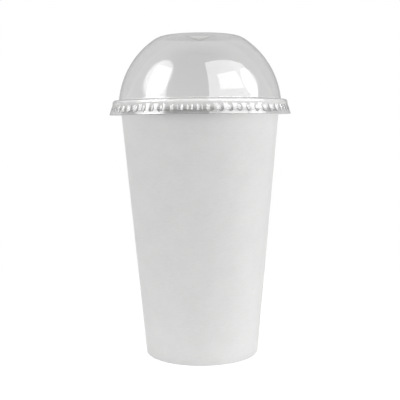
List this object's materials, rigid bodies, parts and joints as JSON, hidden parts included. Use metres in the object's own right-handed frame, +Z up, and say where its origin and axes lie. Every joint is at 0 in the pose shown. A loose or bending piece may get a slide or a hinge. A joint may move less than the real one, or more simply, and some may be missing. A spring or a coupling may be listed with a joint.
{
  "type": "paper cup with dome lid",
  "caption": "Tapered paper cup with a rolled rim and recessed base, closed by a clear lift-off dome lid whose flat top has a cross-shaped straw slit.",
  "frame": {"origin": "centre of the foot, on the table", "axes": "+Z up along the cup's axis, +Y towards the side seam at the back, -Y towards the front"},
  "size_m": [0.0958, 0.0958, 0.1688],
  "materials": {
    "paperboard": "smooth uncoated white board with a faint satin",
    "clear_film": "clear thermoformed film, glossy"
  },
  "bodies": {
    "cup": {"cup_wall": "paperboard", "cup_base": "paperboard"},
    "lid": {"dome_lid": "clear_film"}
  },
  "joints": [
    {"name": "lid_lift", "type": "slide", "parent": "cup", "child": "lid", "axis": [0, 0, 1], "range_m": [0, 0.06]}
  ]
}
